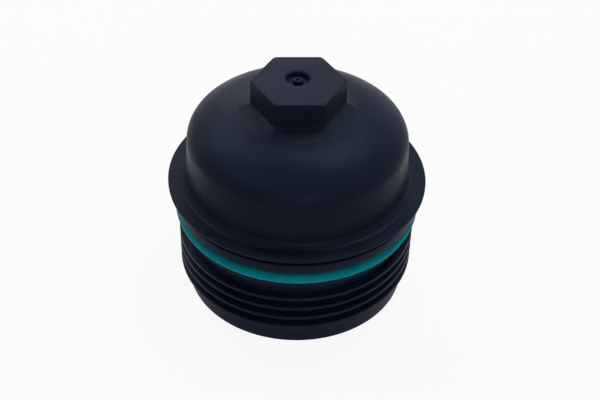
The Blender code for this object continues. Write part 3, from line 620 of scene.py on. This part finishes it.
def valve_body_line():
    """Snap-in head, inlet cage, cartridge disc with the valve's seat, and spigot."""
    head_radius = BOSS_BORE_RADIUS - CLEARANCE
    barb_z = BOSS_Z + SNAP_HEIGHT
    barb_top_z = barb_z + SNAP_BARB_HEIGHT
    tip_z = barb_top_z + SNAP_TIP_HEIGHT - CLEARANCE
    seal_groove_z = SEAL_GROOVE_TOP_Z - SEAL_GROOVE_HEIGHT
    seal_groove_radius = SPIGOT_RADIUS - SEAL_GROOVE_DEPTH
    lip_groove_radius = SPIGOT_BORE_RADIUS + RETAINER_LIP + CLEARANCE
    small = EDGE / 2
    return [
        (AXIS_RADIUS, CAGE_TOP_Z),
        (head_radius - SNAP_WALL, CAGE_TOP_Z, EDGE),
        (head_radius - SNAP_WALL, tip_z, small),
        (head_radius - SNAP_BARB, tip_z, small),
        (head_radius + SNAP_BARB, barb_top_z, small),
        (head_radius + SNAP_BARB, barb_z, small),
        (head_radius, barb_z, small),
        (head_radius, CAGE_TOP_Z, small),
        (BOSS_RADIUS, CAGE_TOP_Z, small),
        (BOSS_RADIUS, DISC_TOP_Z, INNER_CORNER),
        (DISC_RADIUS, DISC_TOP_Z, EDGE),
        (DISC_RADIUS, DISC_Z, EDGE),
        (SPIGOT_RADIUS, DISC_Z, INNER_CORNER),
        (SPIGOT_RADIUS, SEAL_GROOVE_TOP_Z, small),
        (seal_groove_radius, SEAL_GROOVE_TOP_Z, small),
        (seal_groove_radius, seal_groove_z, small),
        (SPIGOT_RADIUS, seal_groove_z, small),
        (SPIGOT_RADIUS, SPIGOT_Z + SPIGOT_LEAD_IN_HEIGHT, EDGE),
        (SPIGOT_RADIUS - SPIGOT_LEAD_IN, SPIGOT_Z, EDGE),
        (SPIGOT_BORE_RADIUS, SPIGOT_Z, EDGE),
        (SPIGOT_BORE_RADIUS, LIP_Z - CLEARANCE),
        (lip_groove_radius, LIP_Z - CLEARANCE),
        (lip_groove_radius, LIP_Z + RETAINER_LIP_HEIGHT + CLEARANCE),
        (SPIGOT_BORE_RADIUS, LIP_Z + RETAINER_LIP_HEIGHT + CLEARANCE),
        (SPIGOT_BORE_RADIUS, SEAT_Z, INNER_CORNER),
        (SEAT_RADIUS, SEAT_Z, small),
        (SEAT_RADIUS, DISC_TOP_Z, small),
        (BOSS_RADIUS - CAGE_WALL, DISC_TOP_Z, INNER_CORNER),
        (BOSS_RADIUS - CAGE_WALL, CAGE_CEILING_Z, INNER_CORNER),
        (AXIS_RADIUS, CAGE_CEILING_Z),
    ]


def plate_line():
    """Nose into the seat, plate, pilot for the spring and guide stem."""
    nose_radius = SEAT_RADIUS - 2 * CLEARANCE
    small = EDGE / 2
    return [
        (AXIS_RADIUS, PLATE_TOP_Z + NOSE_HEIGHT),
        (nose_radius - NOSE_HEIGHT, PLATE_TOP_Z + NOSE_HEIGHT, EDGE),
        (nose_radius, PLATE_TOP_Z + CLEARANCE, small),
        (nose_radius, PLATE_TOP_Z),
        (PLATE_RADIUS, PLATE_TOP_Z, EDGE),
        (PLATE_RADIUS, PLATE_Z, small),
        (SPRING_PILOT_RADIUS, PLATE_Z, small),
        (SPRING_PILOT_RADIUS - CLEARANCE, SPRING_PILOT_Z, EDGE),
        (STEM_RADIUS, SPRING_PILOT_Z, INNER_CORNER),
        (STEM_RADIUS, STEM_Z + STEM_LEAD_IN, small),
        (STEM_RADIUS - STEM_LEAD_IN, STEM_Z, small),
        (AXIS_RADIUS, STEM_Z),
    ]


def retainer_line():
    """Section of the spring retainer, down the outer side and up the hub's bore."""
    outer = SPIGOT_BORE_RADIUS - CLEARANCE
    lip = SPIGOT_BORE_RADIUS + RETAINER_LIP
    hub_bore = STEM_RADIUS + CLEARANCE
    hub = hub_bore + RETAINER_HUB_WALL
    small = EDGE / 2
    middle = (hub_bore + hub) / 2
    return [
        (middle, HUB_TOP_Z),
        (hub, HUB_TOP_Z, small),
        (hub, RETAINER_TOP_Z, INNER_CORNER),
        (outer, RETAINER_TOP_Z, small),
        (outer, LIP_Z + RETAINER_LIP_HEIGHT),
        (lip, LIP_Z + RETAINER_LIP_HEIGHT / 2, small),
        (lip, LIP_Z, small),
        (outer, LIP_Z),
        (outer, RETAINER_Z, small),
        (hub_bore, RETAINER_Z, small),
        (hub_bore, HUB_TOP_Z, small),
        (middle, HUB_TOP_Z),
    ]


def turned_shape(line, closed=False):
    """Turn a line of (radius, height) about the axis."""
    around = evenly(VALVE_STEPS)
    points = rounded(line)
    if closed:
        points = points[:-1]
    return skin([circle(radius, height, around) for radius, height in points], closed=closed)


def prism_shape(outline, low, high):
    """Upright prism over an outline of (x, y) points that runs anticlockwise."""
    rings = [np.array([(x, y, level) for x, y in outline]) for level in (high, low)]
    return skin(rings)


def box_outline(near, far, half_width, angle):
    """Corners of a bar that reaches out from the axis, turned to an angle."""
    corners = ((near, -half_width), (far, -half_width), (far, half_width), (near, half_width))
    return rotated(corners, angle)


def outlet_outline(angle):
    """Kidney-shaped outline of one outlet, with rounded corners."""
    inner = STEM_RADIUS + CLEARANCE + RETAINER_HUB_WALL
    outer = SPRING_PILOT_RADIUS
    middle = (inner + outer) / 2
    round_end = (outer - inner) / 2
    span = OUTLET_SPAN / 2 - round_end / middle
    outline = arc((0.0, 0.0), outer, -span, span, OUTLET_SIDE_STEPS)
    end = (middle * math.cos(span), middle * math.sin(span))
    outline += arc(end, round_end, span, span + math.pi, OUTLET_END_STEPS)[1:-1]
    outline += arc((0.0, 0.0), inner, span, -span, OUTLET_SIDE_STEPS)
    start = (end[0], -end[1])
    outline += arc(start, round_end, math.pi - span, 2 * math.pi - span, OUTLET_END_STEPS)[1:-1]
    return rotated(outline, angle)


def cut(piece, shape):
    """Cut a shape out of a piece for good, and keep the piece's smooth normals."""
    points, faces = shape
    mesh = bpy.data.meshes.new("cutter")
    mesh.from_pydata(points.tolist(), [], faces)
    cutter = bpy.data.objects.new("cutter", mesh)
    bpy.context.scene.collection.objects.link(cutter)
    boolean = piece.modifiers.new("cut", "BOOLEAN")
    boolean.operation = "DIFFERENCE"
    boolean.object = cutter
    boolean.solver = "EXACT"
    normals = piece.modifiers["normals"]
    normals.show_viewport = False
    bpy.context.view_layer.update()
    evaluated = piece.evaluated_get(bpy.context.evaluated_depsgraph_get())
    result = bpy.data.meshes.new_from_object(evaluated)
    result.name = piece.name
    piece.modifiers.remove(boolean)
    piece.data = result
    result.shade_smooth()
    result.set_sharp_from_angle(angle=SHARP_ANGLE)
    normals.show_viewport = True
    bpy.data.objects.remove(cutter)


def spring_height(turn, low, high):
    """Height of the wire's middle after a number of turns, with closed end turns."""
    middle_pitch = (high - low - 2 * SPRING_END_PITCH) / (SPRING_TURNS - 2)
    if turn < 1:
        return low + SPRING_END_PITCH * turn
    if turn > SPRING_TURNS - 1:
        return high - SPRING_END_PITCH * (SPRING_TURNS - turn)
    return low + SPRING_END_PITCH + middle_pitch * (turn - 1)


def spring_shape():
    """Round wire wound between the retainer and the plate."""
    low = RETAINER_TOP_Z + CLEARANCE + SPRING_WIRE / 2
    high = PLATE_Z - CLEARANCE - SPRING_WIRE / 2
    around = evenly(WIRE_STEPS)
    rings = []
    for step in range(SPRING_TURNS * SPRING_STEPS_PER_TURN + 1):
        turn = step / SPRING_STEPS_PER_TURN
        angle = 2 * math.pi * turn
        radius = SPRING_RADIUS + SPRING_WIRE / 2 * np.cos(around)
        height = spring_height(turn, low, high) + SPRING_WIRE / 2 * np.sin(around)
        rings.append(np.column_stack((radius * math.cos(angle), radius * math.sin(angle), height)))
    return skin(rings)


def new_material(name, colour, roughness):
    """Start a material, with its even values on the shader's own sockets."""
    material = bpy.data.materials.new(name)
    material.use_nodes = True
    shader = material.node_tree.nodes["Principled BSDF"]
    shader.inputs["Base Color"].default_value = (*colour, 1.0)
    shader.inputs["Roughness"].default_value = roughness
    return material, shader


def noise(tree, scale, detail=3.0, stretch=(1.0, 1.0, 1.0)):
    """Noise fixed to the object, with a scale in patches for each metre."""
    place = tree.nodes.new("ShaderNodeTexCoord")
    mapping = tree.nodes.new("ShaderNodeMapping")
    mapping.inputs["Scale"].default_value = stretch
    texture = tree.nodes.new("ShaderNodeTexNoise")
    texture.inputs["Scale"].default_value = scale
    texture.inputs["Detail"].default_value = detail
    tree.links.new(place.outputs["Object"], mapping.inputs["Vector"])
    tree.links.new(mapping.outputs["Vector"], texture.inputs["Vector"])
    return texture.outputs["Fac"]


def vary_colour(tree, shader, source, dark, light):
    """Let the colour drift between two tones."""
    ramp = tree.nodes.new("ShaderNodeValToRGB")
    ramp.color_ramp.elements[0].position = NOISE_LOW
    ramp.color_ramp.elements[0].color = (*dark, 1.0)
    ramp.color_ramp.elements[1].position = NOISE_HIGH
    ramp.color_ramp.elements[1].color = (*light, 1.0)
    tree.links.new(source, ramp.inputs["Fac"])
    tree.links.new(ramp.outputs["Color"], shader.inputs["Base Color"])


def vary_roughness(tree, shader, source, low, high):
    """Let the roughness drift between two values."""
    spread = tree.nodes.new("ShaderNodeMapRange")
    spread.inputs["From Min"].default_value = NOISE_LOW
    spread.inputs["From Max"].default_value = NOISE_HIGH
    spread.inputs["To Min"].default_value = low
    spread.inputs["To Max"].default_value = high
    tree.links.new(source, spread.inputs["Value"])
    tree.links.new(spread.outputs["Result"], shader.inputs["Roughness"])


def add_bump(tree, shader, source, distance, strength=1.0):
    """Add relief of a given depth in metres on top of any relief already there."""
    bump = tree.nodes.new("ShaderNodeBump")
    bump.inputs["Distance"].default_value = distance
    bump.inputs["Strength"].default_value = strength
    earlier = shader.inputs["Normal"].links
    if earlier:
        tree.links.new(earlier[0].from_socket, bump.inputs["Normal"])
    tree.links.new(source, bump.inputs["Height"])
    tree.links.new(bump.outputs["Normal"], shader.inputs["Normal"])


def shade(colour, share):
    """Darker or lighter shade of a colour."""
    return tuple(value * share for value in colour)


def moulded_nylon(name, colour, roughness, specular, tint, flow=90):
    """Satin glass-filled nylon: fine fibre grain, faint flow marks and uneven gloss."""
    material, shader = new_material(name, colour, roughness)
    tree = material.node_tree
    shader.inputs["Specular IOR Level"].default_value = specular
    shader.inputs["Specular Tint"].default_value = (*tint, 1.0)
    clouds = noise(tree, scale=flow, detail=4.0)
    vary_colour(tree, shader, clouds, dark=shade(colour, 0.86), light=shade(colour, 1.14))
    gloss = noise(tree, scale=2 * flow, detail=5.0)
    vary_roughness(tree, shader, gloss, low=roughness - 0.04, high=roughness + 0.05)
    flow_marks = noise(tree, scale=flow / 2, detail=2.0)
    add_bump(tree, shader, flow_marks, distance=0.05 * MM, strength=0.5)
    fibres = noise(tree, scale=2600, detail=3.0, stretch=(1.0, 1.0, 0.5))
    add_bump(tree, shader, fibres, distance=0.012 * MM, strength=0.7)
    return material


def moulded_rubber(name, colour, roughness, specular=0.35):
    """Soft-looking rubber: dull skin with a slight bloom and fine pitting."""
    material, shader = new_material(name, colour, roughness)
    tree = material.node_tree
    shader.inputs["Specular IOR Level"].default_value = specular
    clouds = noise(tree, scale=160, detail=3.0)
    vary_colour(tree, shader, clouds, dark=shade(colour, 0.9), light=shade(colour, 1.1))
    bloom = noise(tree, scale=400, detail=4.0)
    vary_roughness(tree, shader, bloom, low=roughness - 0.05, high=roughness + 0.07)
    pits = noise(tree, scale=1800, detail=2.0)
    add_bump(tree, shader, pits, distance=0.01 * MM, strength=0.6)
    return material


def drawn_steel(name, colour, roughness):
    """Spring wire with the faint lines that drawing leaves along it."""
    material, shader = new_material(name, colour, roughness)
    tree = material.node_tree
    shader.inputs["Metallic"].default_value = 1.0
    clouds = noise(tree, scale=500, detail=4.0)
    vary_colour(tree, shader, clouds, dark=shade(colour, 0.8), light=colour)
    streaks = noise(tree, scale=900, detail=3.0, stretch=(0.3, 0.3, 3.0))
    vary_roughness(tree, shader, streaks, low=roughness - 0.06, high=roughness + 0.12)
    lines = noise(tree, scale=1500, detail=2.0, stretch=(0.2, 0.2, 4.0))
    add_bump(tree, shader, lines, distance=0.004 * MM, strength=0.6)
    return material


def dress_moulding():
    """Show the cap's moulding with its fine edges, thread and ribs."""
    nylon = moulded_nylon("black_nylon", BLACK_NYLON, roughness=0.37, specular=0.045, tint=BLUISH)
    new_piece("cap_moulding", cap_shape(), nylon, "cap_assembly", "cap")


def dress_sealing_ring():
    """Show the green ring in its groove."""
    rubber = moulded_rubber("green_rubber", GREEN_RUBBER, roughness=0.45, specular=0.05)
    radius = GROOVE_RADIUS + CLEARANCE + RING_CORD / 2
    height = GROOVE_Z + CLEARANCE + RING_CORD / 2
    shape = cord_ring_shape(radius, height, RING_CORD, CAP_STEPS)
    new_piece("green_sealing_ring", shape, rubber, "cap_assembly", "sealing_ring")


def cut_windows(body):
    """Cut the inlet windows through the wall of the valve body's cage."""
    low = DISC_TOP_Z + WINDOW_MARGIN
    high = CAGE_CEILING_Z - WINDOW_MARGIN
    near = BOSS_RADIUS - CAGE_WALL - 2 * CUT_MARGIN
    for number in range(WINDOW_COUNT):
        angle = 2 * math.pi * number / WINDOW_COUNT
        outline = box_outline(near, BOSS_RADIUS + CUT_MARGIN, WINDOW_WIDTH / 2, angle)
        cut(body, prism_shape(outline, low, high))


def cut_snap_slots(body):
    """Cut the slots that let the valve body's snap-in head spring."""
    near = BOSS_BORE_RADIUS - SNAP_WALL - CUT_MARGIN
    far = BOSS_BORE_RADIUS + SNAP_BARB + CUT_MARGIN
    for number in range(SNAP_SLOT_COUNT):
        angle = 2 * math.pi * (number + 0.5) / SNAP_SLOT_COUNT
        outline = box_outline(near, far, SNAP_SLOT_WIDTH / 2, angle)
        cut(body, prism_shape(outline, CAGE_TOP_Z + CUT_MARGIN, ROOF_Z))


def dress_valve_body():
    """Show the valve body with its windows and slots."""
    nylon = moulded_nylon("dark_nylon", DARK_NYLON, roughness=0.5, specular=0.3, tint=NEUTRAL)
    shape = turned_shape(valve_body_line())
    body = new_piece("valve_housing", shape, nylon, "cap_assembly", "valve_body")
    cut_windows(body)
    cut_snap_slots(body)


def dress_spigot_seal():
    """Show the small ring round the spigot."""
    rubber = moulded_rubber("dark_rubber", DARK_RUBBER, roughness=0.55)
    radius = SPIGOT_RADIUS - SEAL_GROOVE_DEPTH + CLEARANCE + SEAL_CORD / 2
    height = SEAL_GROOVE_TOP_Z - SEAL_GROOVE_HEIGHT / 2
    shape = cord_ring_shape(radius, height, SEAL_CORD, VALVE_STEPS)
    new_piece("spigot_ring", shape, rubber, "cap_assembly", "spigot_seal")


def dress_valve_plate():
    """Show the moving plate."""
    resin = moulded_nylon("amber_resin", AMBER_RESIN, roughness=0.42, specular=0.4, tint=NEUTRAL, flow=220)
    new_piece("moving_plate", turned_shape(plate_line()), resin, "plate", "valve_plate")


def dress_valve_spring():
    """Show the coil spring on a mesh of its own; the real spring shortens as the plate slides down."""
    steel = drawn_steel("spring_steel", SPRING_STEEL, roughness=0.3)
    spring = new_piece("coil_spring", spring_shape(), steel, "cap_assembly", "valve_spring")
    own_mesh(spring)


def dress_spring_retainer():
    """Show the snapped-in disc under the spring, with its outlets."""
    nylon = moulded_nylon("pale_nylon", PALE_NYLON, roughness=0.48, specular=0.4, tint=NEUTRAL, flow=200)
    shape = turned_shape(retainer_line(), closed=True)
    retainer = new_piece("snap_retainer", shape, nylon, "cap_assembly", "spring_retainer")
    for number in range(OUTLET_COUNT):
        outline = outlet_outline(2 * math.pi * number / OUTLET_COUNT)
        cut(retainer, prism_shape(outline, RETAINER_Z - CUT_MARGIN, HUB_TOP_Z + CUT_MARGIN))


def seen_rays(tree):
    """One for the rays that show the backdrop: from the camera, off shiny faces and through clear ones."""
    path = tree.nodes.new("ShaderNodeLightPath")
    seen = path.outputs["Is Camera Ray"]
    for output in ("Is Glossy Ray", "Is Transmission Ray"):
        either = tree.nodes.new("ShaderNodeMath")
        either.operation = "MAXIMUM"
        tree.links.new(seen, either.inputs[0])
        tree.links.new(path.outputs[output], either.inputs[1])
        seen = either.outputs["Value"]
    return seen


def floor_material():
    """White that glows for the rays that see it, keeps a shadow and is clear from below."""
    material = bpy.data.materials.new("floor")
    material.use_nodes = True
    tree = material.node_tree
    tree.nodes.clear()
    diffuse = tree.nodes.new("ShaderNodeBsdfDiffuse")
    diffuse.inputs["Color"].default_value = (*FLOOR_COLOUR, 1.0)
    glow = tree.nodes.new("ShaderNodeEmission")
    glow.inputs["Strength"].default_value = 1.0
    surface = tree.nodes.new("ShaderNodeMixShader")
    surface.inputs["Fac"].default_value = FLOOR_GLOW
    tree.links.new(diffuse.outputs["BSDF"], surface.inputs[1])
    tree.links.new(glow.outputs["Emission"], surface.inputs[2])

    geometry = tree.nodes.new("ShaderNodeNewGeometry")
    shown = tree.nodes.new("ShaderNodeMath")
    shown.operation = "SUBTRACT"
    shown.use_clamp = True
    tree.links.new(seen_rays(tree), shown.inputs[0])
    tree.links.new(geometry.outputs["Backfacing"], shown.inputs[1])
    clear = tree.nodes.new("ShaderNodeBsdfTransparent")
    whole = tree.nodes.new("ShaderNodeMixShader")
    tree.links.new(shown.outputs["Value"], whole.inputs["Fac"])
    tree.links.new(clear.outputs["BSDF"], whole.inputs[1])
    tree.links.new(surface.outputs["Shader"], whole.inputs[2])
    output = tree.nodes.new("ShaderNodeOutputMaterial")
    tree.links.new(whole.outputs["Shader"], output.inputs["Surface"])
    return material


def add_floor():
    """Plain white floor under the object."""
    mesh = bpy.data.meshes.new("floor")
    half = FLOOR_HALF_WIDTH
    corners = [(-half, -half, 0), (half, -half, 0), (half, half, 0), (-half, half, 0)]
    mesh.from_pydata(corners, [], [(0, 1, 2, 3)])
    floor = bpy.data.objects.new("floor", mesh)
    bpy.context.scene.collection.objects.link(floor)
    mesh.materials.append(floor_material())


def light_world():
    """White studio to look at, which sheds only a soft light from below the horizon."""
    world = bpy.data.worlds.new("studio")
    bpy.context.scene.world = world
    world.use_nodes = True
    tree = world.node_tree
    background = tree.nodes["Background"]
    place = tree.nodes.new("ShaderNodeTexCoord")
    split = tree.nodes.new("ShaderNodeSeparateXYZ")
    bounce = tree.nodes.new("ShaderNodeMapRange")
    bounce.inputs["From Min"].default_value = -HORIZON_BLEND
    bounce.inputs["From Max"].default_value = HORIZON_BLEND
    bounce.inputs["To Min"].default_value = FLOOR_BOUNCE
    bounce.inputs["To Max"].default_value = CEILING_BOUNCE
    tree.links.new(place.outputs["Generated"], split.inputs["Vector"])
    tree.links.new(split.outputs["Z"], bounce.inputs["Value"])
    level = tree.nodes.new("ShaderNodeMath")
    level.operation = "MAXIMUM"
    tree.links.new(seen_rays(tree), level.inputs[0])
    tree.links.new(bounce.outputs["Result"], level.inputs[1])
    tree.links.new(level.outputs["Value"], background.inputs["Strength"])
    background.inputs["Color"].default_value = (1.0, 1.0, 1.0, 1.0)


def away_from_target(azimuth, elevation):
    """Direction out from the object. Azimuth 0 points to the front and 180 degrees to the back."""
    return Vector((
        -math.sin(azimuth) * math.cos(elevation),
        -math.cos(azimuth) * math.cos(elevation),
        math.sin(elevation),
    ))


def add_softbox(name, azimuth, elevation, size, power):
    """Rectangular lamp aimed at the object."""
    lamp = bpy.data.lights.new(name, "AREA")
    lamp.shape = "RECTANGLE"
    lamp.size, lamp.size_y = size
    lamp.energy = power
    holder = bpy.data.objects.new(name, lamp)
    bpy.context.scene.collection.objects.link(holder)
    away = away_from_target(math.radians(azimuth), math.radians(elevation))
    holder.location = CAMERA_TARGET + away * SOFTBOX_DISTANCE
    holder.rotation_mode = "QUATERNION"
    holder.rotation_quaternion = away.to_track_quat("Z", "Y")


def add_camera():
    """Camera at the photograph's viewing angle."""
    camera = bpy.data.cameras.new("camera")
    camera.sensor_width = SENSOR_WIDTH
    camera.lens = FOCAL_PIXELS * camera.sensor_width / IMAGE_WIDTH
    camera.shift_x = CAMERA_SHIFT
    camera.clip_start = NEAR_CLIP
    holder = bpy.data.objects.new("camera", camera)
    bpy.context.scene.collection.objects.link(holder)
    away = away_from_target(CAMERA_TURN, CAMERA_ELEVATION)
    place = Matrix.Translation(CAMERA_TARGET + away * CAMERA_DISTANCE)
    level = away.to_track_quat("Z", "Y").to_matrix().to_4x4()
    holder.matrix_world = place @ level @ Matrix.Rotation(CAMERA_ROLL, 4, "Z")
    bpy.context.scene.camera = holder


def main():
    """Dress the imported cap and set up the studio."""
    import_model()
    dress_moulding()
    dress_sealing_ring()
    dress_valve_body()
    dress_spigot_seal()
    dress_valve_plate()
    dress_valve_spring()
    dress_spring_retainer()
    add_floor()
    light_world()
    for name, azimuth, elevation, size, power in SOFTBOXES:
        add_softbox(name, azimuth, elevation, size, power)
    add_camera()
    bpy.context.scene.view_settings.view_transform = "Standard"


main()
